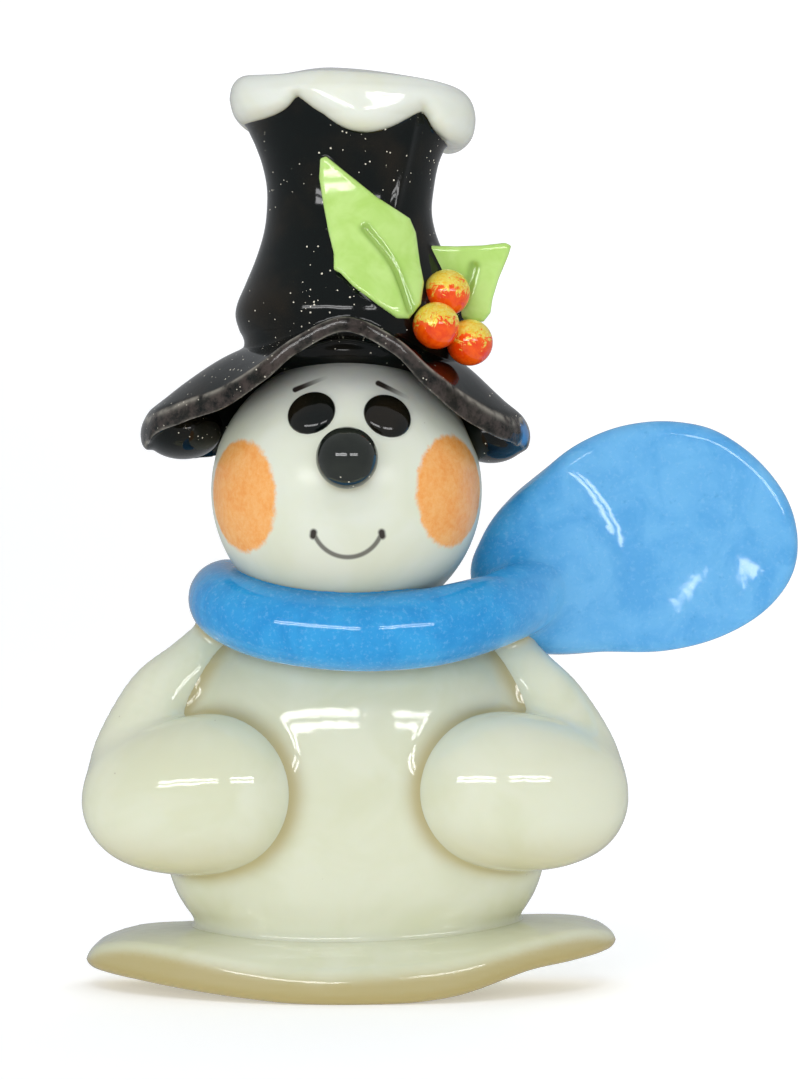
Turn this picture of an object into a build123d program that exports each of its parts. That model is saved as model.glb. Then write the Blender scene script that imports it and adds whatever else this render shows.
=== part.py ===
"""Flat-backed snowman ornament of polymer clay: every clay piece is a separate solid.

Millimetres. +X is the viewer's right, +Z is up and the snowman looks along -Y.
The origin is the middle of the flat foot under the snow base, on the snowman's centreline.
Every clay piece was baked lying on one tile, so all their backs share the plane y = BACK.
"""

from build123d import *
from math import sqrt
import os

# ---- driving dimensions ----
BACK = 8.5  # plane of the flat back
FAR = 200.0  # larger than anything here

# Snow base
FOOT = (-8.0, 7.0)  # the flat it stands on, from x to x
BASE_TOP = [
    (-27.6, 3.3), (-24.0, 5.4), (-18.0, 5.9), (-8.0, 5.5), (2.0, 5.4),
    (12.0, 5.9), (19.5, 6.7), (24.5, 6.4), (27.4, 4.5),
]
BASE_UNDER_RIGHT = [(21.5, 3.2), (15.5, 1.9)]
BASE_UNDER_LEFT = [(-17.0, 0.8), (-24.0, 2.0)]
BASE_PLAN = [
    (-28.5, 4.0), (-22.0, -3.5), (-10.0, -9.1), (0.0, -10.0), (11.0, -8.9), (22.0, -3.0), (28.5, 4.0),
]

# Torso: (height, half width, half depth) of its sections, which are ellipses about (TORSO_X, TORSO_Y)
TORSO_X = 0.2
TORSO_Y = 6.0
TORSO_SECTIONS = [
    (2.5, 15.0, 9.5),
    (7.5, 17.3, 10.3),
    (12.0, 19.5, 11.0),
    (20.0, 20.0, 11.4),
    (27.0, 18.5, 11.0),
    (31.5, 16.6, 10.2),
    (35.0, 13.6, 9.0),
    (38.5, 9.5, 7.5),
]

# Arms: centres, tilts about Y in degrees and half sizes
ARM_UPPER_AT = {"left": (-19.0, 2.4, 27.6), "right": (19.5, 2.5, 27.7)}
ARM_UPPER_LEAN = {"left": 26.0, "right": -25.0}
ARM_UPPER_SIZE = (5.0, 5.6, 11.0)
FOREARM_AT = {"left": (-16.4, -2.2, 20.2), "right": (17.1, -2.2, 20.7)}
FOREARM_TILT = {"left": 2.0, "right": 2.0}
FOREARM_SIZE = (11.0, 7.0, 7.8)

# Head
HEAD_R = 13.9
HEAD = Vector(-0.6, 1.5, 51.2)
HEAD_BACK_EDGE = 0.8

# Face
EYE_SIZE = (2.3, 2.4, 0.9)  # half width, half height, half thickness
EYE_AT = {"left": (-3.3, 7.55, 12.0), "right": (4.3, 7.25, -14.0)}  # x, z from the head, tilt in degrees
NOSE_R = 3.05
NOSE_AT = (0.3, 2.6)  # x, z from the head
NOSE_PROUD = 1.7  # how far its centre stands off the head's surface
CHEEK_SIZE = (3.1, 5.6)
CHEEK_AT = {"left": (-10.3, -0.7), "right": (10.5, -0.2)}
PAINT = 0.12  # thickness of the painted marks
MOUTH_R = 3.55
MOUTH_AT = (0.35, -3.25)
MOUTH_SWEEP = 142.0  # degrees
MOUTH_LINE = 0.55
BROW_LINE = 0.35
BROWS = {"left": ((-5.0, 9.9), (-1.9, 11.2)), "right": ((3.3, 10.6), (6.3, 9.1))}

# Scarf
SCARF_R = (3.8, 4.0)  # half height, half depth of the roll
SCARF_PATH = [
    (-12.7, 11.0, 40.8),
    (-13.4, 4.0, 40.0),
    (-11.4, -2.4, 38.8),
    (-6.4, -5.9, 37.5),
    (0.5, -6.7, 37.0),
    (7.0, -5.7, 37.2),
    (12.5, -2.5, 38.2),
    (16.8, 1.8, 39.8),
]
TAIL_FRONT = 5.0  # plane of its front
TAIL_EDGE = 1.5  # rounding of its rim
TAIL_RIM = [
    (13.6, 43.2), (18.2, 52.2), (26.6, 57.5), (34.2, 58.7), (42.2, 55.2), (46.2, 47.0),
    (43.0, 38.8), (34.4, 34.7), (25.0, 34.3), (18.0, 36.0), (13.4, 39.0),
]

# Hat
BRIM_SHEET = 1.5
LIP_LEAN = 0.35  # the sheet's lower edge stands this far inside its upper one
UNDER_BRIM = 12.0  # depth of the space under the brim's top that the crown keeps out of
BRIM_STATIONS = [  # x, then (y, z) of the sheet's front lip, crest and back edge
    (-21.6, (0.2, 57.3), (2.0, 57.9), (4.4, 57.2)),
    (-20.3, (-2.8, 58.6), (1.2, 59.5), (6.8, 56.9)),
    (-17.0, (-6.0, 59.7), (0.6, 62.2), (9.5, 56.4)),
    (-13.0, (-8.4, 61.0), (0.2, 64.8), (9.5, 57.6)),
    (-9.0, (-10.2, 63.4), (0.0, 66.4), (9.5, 59.9)),
    (-5.5, (-11.3, 66.0), (0.0, 67.2), (9.5, 62.4)),
    (-0.5, (-11.8, 68.1), (0.0, 67.6), (9.5, 64.0)),
    (4.5, (-11.3, 66.0), (0.0, 67.0), (9.5, 62.2)),
    (8.0, (-10.0, 62.9), (0.4, 66.0), (9.5, 59.6)),
    (11.5, (-7.8, 60.3), (1.0, 64.0), (9.5, 57.2)),
    (14.8, (-5.2, 58.6), (1.6, 61.0), (9.5, 56.0)),
    (17.4, (-2.0, 57.7), (2.6, 58.6), (6.8, 56.2)),
    (18.5, (0.9, 57.0), (3.2, 57.3), (5.6, 56.4)),
]
BRIM_SEAT_AT = (-0.6, 2.4, 64.6)  # pad of clay between brim and head
BRIM_SEAT_SIZE = (10.5, 7.4, 3.4)
CROWN_X = -0.3
CROWN_Y = 1.5
CROWN_SECTIONS = [
    (62.5, 11.9, 10.3),
    (66.0, 11.9, 10.2),
    (68.5, 11.7, 9.9),
    (72.5, 10.3, 9.0),
    (76.5, 9.0, 8.1),
    (80.4, 8.5, 7.6),
    (84.5, 8.9, 7.8),
    (88.0, 10.1, 8.4),
    (91.2, 10.9, 8.8),
]
CAP_AT = (0.0, 2.0, 91.0)
CAP_SIZE = (12.7, 10.6, 3.2)
CAP_LOBES = [  # centre, half sizes
    ((-7.8, -0.9, 90.7), (5.1, 8.2, 3.3)),
    ((1.0, -1.7, 90.0), (7.0, 8.0, 3.6)),
    ((8.9, -0.7, 89.8), (4.2, 7.9, 3.6)),
]

# Holly
LEAF_SHEET = 1.1
LEAF_LARGE = [
    (-3.1, 83.9), (-2.4, 83.9), (1.6, 80.6), (5.9, 78.0), (6.6, 75.2), (7.2, 69.9),
    (5.6, 68.2), (3.4, 69.2), (-0.4, 72.4), (-1.6, 72.8), (-3.1, 80.9),
]
LEAF_SMALL = [
    (7.9, 76.3), (15.4, 76.6), (16.4, 76.2), (15.2, 72.4), (14.4, 69.0), (13.9, 68.5),
    (12.6, 68.6), (9.3, 70.6),
]
LEAF_SMALL_FRONT = -2.2
BERRY_R = 2.35
BERRIES = {
    "berry_front": (8.5, -7.4, 67.5),
    "berry_top": (9.6, -4.8, 71.0),
    "berry_low": (11.9, -4.6, 66.0),
}

# Armature and hanger
PIN_R = 0.8
PIN_Y = 3.0
NECK_PIN = (26.0, 50.0)  # lowest and highest point
HAT_PIN = (56.5, 78.0)
WIRE_R = 0.45
RING_HOLE_R = 1.6
RING_AT = (1.3, 84.0)  # x, z
SHANK = 6.0  # length baked in and between the back and the ring


# ---- helpers ----
def behind_back():
    """Everything past the plane of the flat back."""
    return Pos(0, BACK + FAR / 2, 0) * Box(FAR, FAR, FAR)


def on_tile(solid):
    """The piece with its back pressed flat against the tile."""
    return solid - behind_back()


def less(piece, *others):
    """The piece, pressed against its neighbours: what they fill is taken out, and the main lump is kept."""
    for other in others:
        piece = piece - other
    return piece.solids().sort_by(SortBy.VOLUME)[-1]


def column(sections, x, y):
    """A loft of level ellipses about the upright line through (x, y)."""
    return loft([Pos(x, y, z) * Ellipse(half_x, half_y) for z, half_x, half_y in sections])


def grown(sections, by):
    """The sections of a skin that lies that far outside the column."""
    return [(z, half_x + by, half_y + by) for z, half_x, half_y in sections]


def front_face(*edges):
    """A face in the x-z plane, from edges drawn as (x, z)."""
    return Plane.XZ * make_face(Wire(list(edges)))


def slab(face, front, back):
    """The face in the x-z plane, thickened from y = front to y = back."""
    return Pos(0, back, 0) * extrude(face, amount=back - front, dir=(0, -1, 0))


def ellipsoid(half_x, half_y, half_z):
    return scale(Sphere(1), by=(half_x, half_y, half_z))


def round_front(solid, radius, front):
    """Rounds the rim of the face at y = front."""
    rim = solid.faces().filter_by(Axis.Y).sort_by(Axis.Y)[0].edges()
    return fillet(rim, radius)


def make_pin(low, high):
    return Pos(0, PIN_Y, (low + high) / 2) * Cylinder(PIN_R, high - low)


def on_head(dx, dz):
    """The point of the head's front at (dx, dz) from its centre."""
    return HEAD + Vector(dx, -sqrt(HEAD_R**2 - dx**2 - dz**2), dz)


# ---- snow base and body ----
def make_base():
    """A low drift of snow: a flat foot in the middle, tips that curl up at both ends."""
    top = Spline(*BASE_TOP)
    right = Spline(BASE_TOP[-1], *BASE_UNDER_RIGHT, (FOOT[1], 0), tangents=((-0.6, -1), (-1, 0)))
    left = Spline((FOOT[0], 0), *BASE_UNDER_LEFT, BASE_TOP[0], tangents=((-1, 0), (-0.6, 1)))
    foot = Line((FOOT[1], 0), (FOOT[0], 0))
    side = slab(front_face(top, right, foot, left), -FAR / 4, BACK)
    front = Spline(*BASE_PLAN)
    (x0, y0), (x1, y1) = BASE_PLAN[0], BASE_PLAN[-1]
    rear = Polyline((x1, y1), (x1, BACK), (x0, BACK), (x0, y0))
    plan = make_face(Wire([front, *rear.edges()]))
    return (side & extrude(plan, amount=FAR / 4)).solids()[0]


def make_torso():
    return on_tile(column(TORSO_SECTIONS, TORSO_X, TORSO_Y))


def make_arm(side):
    """One roll of clay, bent at the elbow: the forearm lies across the belly."""
    upper = Pos(*ARM_UPPER_AT[side]) * Rot(Y=ARM_UPPER_LEAN[side]) * ellipsoid(*ARM_UPPER_SIZE)
    fore = Pos(*FOREARM_AT[side]) * Rot(Y=FOREARM_TILT[side]) * ellipsoid(*FOREARM_SIZE)
    return on_tile(upper + fore)


# ---- head and face ----
def make_head():
    ball = on_tile(Pos(HEAD) * Sphere(HEAD_R))
    return fillet(ball.faces().filter_by(Axis.Y).edges(), HEAD_BACK_EDGE)


def make_eye(side):
    dx, dz, tilt = EYE_AT[side]
    spot = on_head(dx, dz)
    frame = Plane(origin=spot, x_dir=(1, dx / HEAD_R, 0), z_dir=spot - HEAD)
    half_x, half_z, thick = EYE_SIZE
    return frame * Rot(Z=tilt) * ellipsoid(half_x, half_z, thick)


def make_nose():
    dx, dz = NOSE_AT
    spot = on_head(dx, dz)
    out = (spot - HEAD).normalized()
    return Pos(spot + out * NOSE_PROUD) * Sphere(NOSE_R)


def painted(mark):
    """A mark drawn in the x-z plane as a film of paint on the front of the head."""
    skin = Pos(HEAD) * Sphere(HEAD_R + PAINT) - Pos(HEAD) * Sphere(HEAD_R)
    return (slab(mark, -FAR / 4, HEAD.Y) & skin).solids()[0]


def make_cheek(side):
    dx, dz = CHEEK_AT[side]
    return painted(Plane.XZ * Pos(HEAD.X + dx, HEAD.Z + dz) * Ellipse(*CHEEK_SIZE))


def make_mouth():
    x, z = HEAD.X + MOUTH_AT[0], HEAD.Z + MOUTH_AT[1]
    line = CenterArc((x, z), MOUTH_R, 270 - MOUTH_SWEEP / 2, MOUTH_SWEEP)
    return painted(Plane.XZ * SlotArc(line, MOUTH_LINE))


def make_brow(side):
    (x0, z0), (x1, z1) = BROWS[side]
    start, end = Vector(HEAD.X + x0, HEAD.Z + z0), Vector(HEAD.X + x1, HEAD.Z + z1)
    return painted(Plane.XZ * SlotArc(Line(start, end), BROW_LINE))


# ---- scarf ----
def make_scarf_wrap():
    path = Spline(*SCARF_PATH)
    start = Plane(origin=path @ 0, z_dir=path % 0)
    half_z, half_y = SCARF_R
    return on_tile(sweep(start * Ellipse(half_y, half_z), path=path) + Pos(path @ 1) * Sphere(half_y))


def make_scarf_tail():
    plate = slab(front_face(Spline(*TAIL_RIM, periodic=True)), TAIL_FRONT, BACK)
    return round_front(plate, TAIL_EDGE, TAIL_FRONT)


# ---- hat ----
def brim_section(x, front, crest, back, depth):
    """One slice of the brim's sheet, or of all that lies under its top, in the plane of that x."""
    drop = Vector(0, 0, -depth)
    points = [Vector(x, *p) for p in (front, crest, back)]
    inward = [Vector(0, LIP_LEAN, 0), Vector(), Vector(0, -LIP_LEAN, 0)]
    low = [point + drop + shift for point, shift in zip(points, inward)]
    rear = Line(points[2], low[2])
    lip = Line(low[0], points[0])
    return Face(Wire([Spline(*points), rear, Spline(*low), lip]))


def make_brim():
    """A drooping sheet, with a pad of the same clay under it that sits on the head."""
    sheet = loft([brim_section(*station, BRIM_SHEET) for station in BRIM_STATIONS])
    return on_tile(sheet + Pos(*BRIM_SEAT_AT) * ellipsoid(*BRIM_SEAT_SIZE))


def make_crown():
    """The flared crown, shaped underneath by the brim that it stands on."""
    under_brim = loft([brim_section(*station, UNDER_BRIM) for station in BRIM_STATIONS])
    return on_tile(column(CROWN_SECTIONS, CROWN_X, CROWN_Y) - under_brim)


def make_cap():
    """A flattened pad of snow with three lobes that hang over the front of the crown."""
    snow = Pos(*CAP_AT) * ellipsoid(*CAP_SIZE)
    for place, size in CAP_LOBES:
        snow = snow + Pos(*place) * ellipsoid(*size)
    return on_tile(snow)


# ---- holly ----
def outline(corners):
    """A closed face in the x-z plane through the corners."""
    return front_face(*Polyline(*corners, close=True).edges())


def make_leaf_large():
    """A thin leaf that follows the front of the crown."""
    thick = column(grown(CROWN_SECTIONS, LEAF_SHEET), CROWN_X, CROWN_Y)
    return slab(outline(LEAF_LARGE), -FAR / 4, 0) & thick


def make_leaf_small():
    """A thin leaf that stands out past the crown's side."""
    return slab(outline(LEAF_SMALL), LEAF_SMALL_FRONT, LEAF_SMALL_FRONT + LEAF_SHEET)


# ---- hanger ----
def make_hanging_eye():
    """A wire ring on a shank that is baked into the back of the crown."""
    ring_r = RING_HOLE_R + WIRE_R
    x, z = RING_AT
    centre_y = BACK + ring_r + WIRE_R
    ring = Pos(x, centre_y, z) * Rot(Y=90) * Torus(ring_r, WIRE_R)
    shank_end = centre_y - ring_r
    shank = Pos(x, shank_end - SHANK / 2, z) * Rot(X=90) * Cylinder(WIRE_R, SHANK)
    return ring + shank


def build():
    neck_pin = make_pin(*NECK_PIN)
    hat_pin = make_pin(*HAT_PIN)
    hanging_eye = make_hanging_eye()
    base = make_base()
    head = less(make_head(), neck_pin, hat_pin)
    torso = less(make_torso(), base, head, neck_pin)
    arms = {f"arm_{side}": less(make_arm(side), torso, head) for side in ("left", "right")}
    wrap = less(make_scarf_wrap(), head, torso, *arms.values())
    tail = less(make_scarf_tail(), head, torso, wrap, *arms.values())
    brim = less(make_brim(), head, hat_pin)
    crown = less(make_crown(), brim, head, hat_pin, hanging_eye)
    cap = less(make_cap(), crown)
    leaf_large = less(make_leaf_large(), crown, brim)
    leaf_small = less(make_leaf_small(), crown, brim)
    nodes = {
        "snow_base": base,
        "torso": torso,
        **arms,
        "head": head,
        "scarf_wrap": wrap,
        "scarf_tail": tail,
        "hat_brim": brim,
        "hat_crown": crown,
        "snow_cap": cap,
        "holly_leaf_large": leaf_large,
        "holly_leaf_small": leaf_small,
        "neck_pin": neck_pin,
        "hat_pin": hat_pin,
        "hanging_eye": hanging_eye,
        "nose": less(make_nose(), head),
        "mouth": make_mouth(),
    }
    for side in ("left", "right"):
        nodes[f"eye_{side}"] = less(make_eye(side), head)
        nodes[f"cheek_{side}"] = make_cheek(side)
        nodes[f"brow_{side}"] = make_brow(side)
    berries = {}
    for name, place in BERRIES.items():
        ball = Pos(*place) * Sphere(BERRY_R)
        berries[name] = less(ball, crown, brim, leaf_large, leaf_small, *berries.values())
    return {**nodes, **berries}


os.makedirs("parts", exist_ok=True)
for name, shape in build().items():
    export_step(shape, f"parts/{name}.step")
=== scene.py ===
"""Flat-backed snowman ornament of glazed polymer clay, modelled round its CAD frame.

Each clay piece is a field: a function of (x, y, z) in millimetres that says how far outside the
clay a point lies, negative inside. Fields are joined, cut and rounded, and skin() lays a mesh over
the surface where one is zero. +X is the viewer's right, +Z up, the snowman looks along -Y.
"""

import bpy
import numpy as np
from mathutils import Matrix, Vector


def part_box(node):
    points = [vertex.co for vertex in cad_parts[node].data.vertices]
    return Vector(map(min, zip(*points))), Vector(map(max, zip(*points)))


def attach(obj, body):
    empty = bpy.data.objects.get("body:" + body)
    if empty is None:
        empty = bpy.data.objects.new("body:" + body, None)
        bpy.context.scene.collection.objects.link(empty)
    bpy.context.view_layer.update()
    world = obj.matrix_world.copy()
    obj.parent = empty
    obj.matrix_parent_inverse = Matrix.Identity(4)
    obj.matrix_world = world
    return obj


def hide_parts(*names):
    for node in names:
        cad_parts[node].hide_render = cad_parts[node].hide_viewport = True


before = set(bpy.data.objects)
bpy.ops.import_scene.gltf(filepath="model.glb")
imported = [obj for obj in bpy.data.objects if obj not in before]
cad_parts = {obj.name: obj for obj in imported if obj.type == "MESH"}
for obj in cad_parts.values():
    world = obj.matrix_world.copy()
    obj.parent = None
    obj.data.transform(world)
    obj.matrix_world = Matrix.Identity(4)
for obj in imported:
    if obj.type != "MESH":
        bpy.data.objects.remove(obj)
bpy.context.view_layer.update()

MM = 0.001
STEP = 0.4  # mesh size of the larger pieces
SIDES = ("left", "right")
SUNK = 1.0  # how far a piece runs on under its neighbour's surface
LIP = 0.2  # how far under that surface a fillet aims, so that it meets it at an angle


def node_box(node):
    """Lowest corner and highest corner of a CAD node, in millimetres."""
    return tuple(np.array(corner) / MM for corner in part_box(node))


def middle(node):
    low, high = node_box(node)
    return (low + high) / 2


BACK = node_box("torso")[1][1]  # plane of the flat back
HEAD_R = (node_box("head")[1] - node_box("head")[0])[0] / 2
HEAD_LOW, HEAD_HIGH = node_box("head")
HEAD = np.array([(HEAD_LOW[0] + HEAD_HIGH[0]) / 2, HEAD_LOW[1] + HEAD_R, HEAD_LOW[2] + HEAD_R])


# ---------------------------------------------------------------- curves and fields
def ease(share):
    """0 below 0, 1 above 1, smooth between."""
    share = np.clip(share, 0, 1)
    return share**2 * (3 - 2 * share)


def curve(points, closed=False, spans=10):
    """A smooth run of points through the given ones (Catmull-Rom)."""
    p = np.array(points, float)
    before = np.roll(p, 1, 0) if closed else np.vstack([2 * p[0] - p[1], p[:-1]])
    after = np.roll(p, -1, 0) if closed else np.vstack([p[1:], 2 * p[-1] - p[-2]])
    slope = (after - before) / 2
    last = len(p) if closed else len(p) - 1
    out = []
    for i in range(last):
        a, b = p[i], p[(i + 1) % len(p)]
        m, n = slope[i], slope[(i + 1) % len(p)]
        for t in np.arange(spans) / spans:
            out.append(
                (2 * t**3 - 3 * t**2 + 1) * a + (t**3 - 2 * t**2 + t) * m
                + (3 * t**2 - 2 * t**3) * b + (t**3 - t**2) * n
            )
    if not closed:
        out.append(p[-1])
    return np.array(out)


def along(table, column, at):
    """Smooth reading of one column of a table whose first column rises."""
    dense = curve(table)
    return np.interp(at, dense[:, 0], dense[:, column])


def soft_min(a, b, soft):
    if soft == 0:
        return np.minimum(a, b)
    overlap = np.maximum(soft - np.abs(a - b), 0)
    return np.minimum(a, b) - overlap**2 / (4 * soft)


def join(*fields, soft=0.0):
    """One lump from several, with a fillet of that size between them."""
    def field(x, y, z):
        out = fields[0](x, y, z)
        for other in fields[1:]:
            out = soft_min(out, other(x, y, z), soft)
        return out
    return field


def cut(body, *neighbours, sunk=SUNK):
    """The body without what its neighbours fill, all but a margin that stays hidden inside them."""
    def field(x, y, z):
        out = body(x, y, z)
        for neighbour in neighbours:
            out = np.maximum(out, -neighbour(x, y, z) - sunk)
        return out
    return field


def hug(body, *neighbours, soft=2.0):
    """The body with clay and glaze drawn up in a fillet against each neighbour."""
    def field(x, y, z):
        own = body(x, y, z)
        others = [neighbour(x, y, z) for neighbour in neighbours]
        out = own
        for other in others:
            out = np.minimum(out, np.maximum(soft_min(own, other + LIP, soft), own - soft))
        for other in others:
            out = np.maximum(out, -other - SUNK)
        return out
    return field


def both(a, b, soft=0.0):
    """Where two lumps overlap, with the edge between them rounded."""
    return lambda x, y, z: -soft_min(-a(x, y, z), -b(x, y, z), soft)


def round_edge(u, v, edge):
    """Distance outside both u and v, with a true round of that radius on the edge between them."""
    u, v = u + edge, v + edge
    return np.hypot(np.maximum(u, 0), np.maximum(v, 0)) + np.minimum(np.maximum(u, v), 0) - edge


def plate(a, b, edge):
    """Where two fields overlap, with the edge between them rounded."""
    return lambda x, y, z: round_edge(a(x, y, z), b(x, y, z), edge)


def on_tile(body, rim=0.8):
    """The body pressed flat against the tile that it was baked on."""
    return plate(body, lambda x, y, z: y - BACK + 0 * x + 0 * z, rim)


def uneven(body, amount, size, seed=0.0):
    """Hand-made unevenness: slow waves of that height and length."""
    def field(x, y, z):
        u, v, w = x / size + seed, y / size + 2 * seed, z / size - seed
        waves = np.sin(u + 1.7 * np.sin(w)) * np.cos(w * 1.3 + v) + np.sin(v * 1.9 + u * 0.7 + 2.1)
        return body(x, y, z) + amount * waves / 2
    return field


def ellipsoid(centre, half, tilt=0.0):
    """tilt turns it in the x-z plane, in degrees, anticlockwise as the viewer sees it."""
    c, s = np.cos(np.radians(tilt)), np.sin(np.radians(tilt))

    def field(x, y, z):
        dx, dy, dz = x - centre[0], y - centre[1], z - centre[2]
        u, v, w = (c * dx + s * dz) / half[0], dy / half[1], (c * dz - s * dx) / half[2]
        size = np.sqrt(u**2 + v**2 + w**2) + 1e-9
        slope = np.sqrt((u / half[0])**2 + (v / half[1])**2 + (w / half[2])**2) + 1e-9
        return size * (size - 1) / slope
    return field


def ball(centre, radius):
    def field(x, y, z):
        return np.sqrt((x - centre[0])**2 + (y - centre[1])**2 + (z - centre[2])**2) - radius
    return field


def roll(stations):
    """A roll of clay along stations (x, y, z, radius)."""
    dense = curve(stations, spans=6)

    def field(x, y, z):
        out = np.inf
        for a, b in zip(dense[:-1], dense[1:]):
            run = b[:3] - a[:3]
            share = ((x - a[0]) * run[0] + (y - a[1]) * run[1] + (z - a[2]) * run[2]) / (run @ run)
            share = np.clip(share, 0, 1)
            dx, dy, dz = x - a[0] - share * run[0], y - a[1] - share * run[1], z - a[2] - share * run[2]
            out = np.minimum(out, np.sqrt(dx**2 + dy**2 + dz**2) - a[3] - share * (b[3] - a[3]))
        return out
    return field


def outline(loop, pitch=0.15, margin=5.0):
    """Distance to a closed loop of points in a plane, kept on a fine grid and read between its points."""
    loop = np.array(loop, float)
    low, high = loop.min(0) - margin, loop.max(0) + margin
    us, vs = (np.arange(a, b, pitch) for a, b in zip(low, high))
    u, v = us[:, None], vs[None, :]
    away = np.full((len(us), len(vs)), np.inf)
    inside = np.zeros(away.shape, bool)
    for (u0, v0), (u1, v1) in zip(loop, np.roll(loop, -1, 0)):
        du, dv = u1 - u0, v1 - v0
        share = np.clip(((u - u0) * du + (v - v0) * dv) / (du * du + dv * dv + 1e-12), 0, 1)
        away = np.minimum(away, np.hypot(u - u0 - share * du, v - v0 - share * dv))
        crosses = (v0 <= v) != (v1 <= v)
        inside ^= crosses & (u < u0 + du * (v - v0) / (dv if dv else 1e-12))
    grid = np.where(inside, -away, away)

    def read(u, v):
        fu = np.clip((u - low[0]) / pitch, 0, len(us) - 1.001)
        fv = np.clip((v - low[1]) / pitch, 0, len(vs) - 1.001)
        i, j = fu.astype(int), fv.astype(int)
        a, b = fu - i, fv - j
        low_row = grid[i, j] * (1 - b) + grid[i, j + 1] * b
        high_row = grid[i + 1, j] * (1 - b) + grid[i + 1, j + 1] * b
        return low_row * (1 - a) + high_row * a
    return read


def upright(edge):
    """A field with walls that stand on a plan drawn in x and y."""
    return lambda x, y, z: edge(x + 0 * y, y + 0 * x) + 0 * z


def facing(edge):
    """A field with walls that run from front to back round an outline drawn in x and z."""
    return lambda x, y, z: edge(x + 0 * z, z + 0 * x) + 0 * y


# ---------------------------------------------------------------- from field to mesh
def settle(points, field, step, rounds=4):
    """Moves points along the field's slope on to its surface."""
    h = 0.02
    for _ in range(rounds):
        x, y, z = points.T
        value = field(x, y, z)
        slope = np.stack([
            field(x + h, y, z) - field(x - h, y, z),
            field(x, y + h, z) - field(x, y - h, z),
            field(x, y, z + h) - field(x, y, z - h),
        ], 1) / (2 * h)
        move = -(value / np.maximum((slope**2).sum(1), 0.05))[:, None] * slope
        length = np.linalg.norm(move, axis=1, keepdims=True)
        points = points + move * np.minimum(1, 0.4 * step / np.maximum(length, 1e-9))
    return points


def skin(name, field, low, high, step=STEP):
    """A closed quad mesh over the surface of the field between two corners (surface nets)."""
    low, high = np.array(low, float) - 2.5 * step, np.array(high, float) + 2.5 * step
    axes = [np.arange(a, b, step, dtype=np.float32) for a, b in zip(low, high)]
    count = np.array([len(a) for a in axes])
    value = np.broadcast_to(field(*np.meshgrid(*axes, indexing="ij", sparse=True)), count)
    inside = value < 0
    if inside[1:-1, 1:-1, 1:-1].sum() != inside.sum():
        raise ValueError(f"{name} reaches past its bounds")
    spots, quads = [], []
    for a in range(3):
        b, c = (a + 1) % 3, (a + 2) % 3
        lower = [slice(None)] * 3
        lower[a] = slice(0, -1)
        upper = [slice(None)] * 3
        upper[a] = slice(1, None)
        lower, upper = tuple(lower), tuple(upper)
        edges = np.argwhere(inside[lower] != inside[upper])
        v0, v1 = value[lower][tuple(edges.T)], value[upper][tuple(edges.T)]
        spot = low + step * edges
        spot[:, a] += step * v0 / (v0 - v1)
        quad = []
        for along_b, along_c in ((-1, -1), (0, -1), (0, 0), (-1, 0)):
            cell = edges.copy()
            cell[:, b] += along_b
            cell[:, c] += along_c
            quad.append(np.ravel_multi_index(cell.T, count))
        quad = np.stack(quad, 1)
        outward = v0 < 0
        quads.append(np.where(outward[:, None], quad, quad[:, ::-1]))
        spots.append(spot)
    quads, spots = np.vstack(quads), np.vstack(spots)
    cells, index = np.unique(quads, return_inverse=True)
    index = index.reshape(quads.shape)
    hits = np.bincount(index.ravel())
    each = np.repeat(spots, 4, axis=0)
    points = np.stack([np.bincount(index.ravel(), each[:, k]) / hits for k in range(3)], 1)
    points = settle(points, field, step)
    mesh = bpy.data.meshes.new(name)
    mesh.from_pydata((points * MM).tolist(), [], index.tolist())
    mesh.polygons.foreach_set("use_smooth", [True] * len(mesh.polygons))
    piece = bpy.data.objects.new(name, mesh)
    bpy.context.collection.objects.link(piece)
    return piece


def points_of(piece):
    """x, y and z of every point, in millimetres."""
    points = np.empty(len(piece.data.vertices) * 3)
    piece.data.vertices.foreach_get("co", points)
    return points.reshape(-1, 3).T / MM


def store(piece, name, values):
    """Keeps a number on every point for the material to read."""
    piece.data.attributes.new(name, "FLOAT", "POINT").data.foreach_set("value", values)


def near(piece, *neighbours, reach):
    """Stores on each point how deep it sits in a crease, for painted shade there: 1 against a neighbour,
    fading over reach.
    """
    closest = np.min([field(*points_of(piece)) for field in neighbours], axis=0)
    store(piece, "crease", np.exp(-np.maximum(closest, 0) / reach))


def store_underside_shade(piece, start=-0.2, end=-1.0, share=0.45):
    """Stores how much each point turns down, for painted shade underneath: 0 at a normal's start, share at
    its end.
    """
    normals = np.empty(len(piece.data.vertices) * 3)
    piece.data.vertex_normals.foreach_get("vector", normals)
    _, back, up = normals.reshape(-1, 3).T
    on_the_tile = back > 0.7
    store(piece, "under", share * ease((start - up) / (start - end)) * ~on_the_tile)


def place(piece, material, slot, *nodes):
    """Gives a finished piece its material and its body, and hides the CAD nodes that it stands for."""
    piece.data.materials.append(material)
    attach(piece, "root")
    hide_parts(*nodes)


# ---------------------------------------------------------------- snow base
BASE_TOP = [  # x, height of the top at the back, height of the underside
    (-30, 2.2, 2.0), (-27.8, 3.4, 1.9), (-25.5, 4.8, 1.8), (-22, 5.8, 1.5), (-17.5, 6.1, 1.0),
    (-11, 6.1, 0.4), (-5, 6.1, 0.0), (4.6, 6.3, 0.0), (9.5, 6.4, 0.45), (12.5, 6.55, 1.1), (15.4, 6.7, 2.0),
    (18.3, 6.85, 2.8), (21.5, 6.85, 3.2), (24, 6.6, 3.5), (26.5, 5.8, 3.8), (30, 4.4, 4.0),
]
BASE_PLAN = [
    (-27.6, 3.6), (-25.3, -0.6), (-20, -4.6), (-12, -8.2), (-4, -9.9), (3, -9.8), (11, -8.6),
    (18, -5.6), (23, -2.4), (26.2, 1.0), (27.3, 4.4), (26.6, 8.6), (25.5, 13), (-25.5, 13), (-27.2, 8.4),
]
BASE_DROP = 3.1  # how far the top falls from back to front
BASE_DROP_GAIN = 0.002  # how much more it falls away from the middle, for each square millimetre
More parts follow.
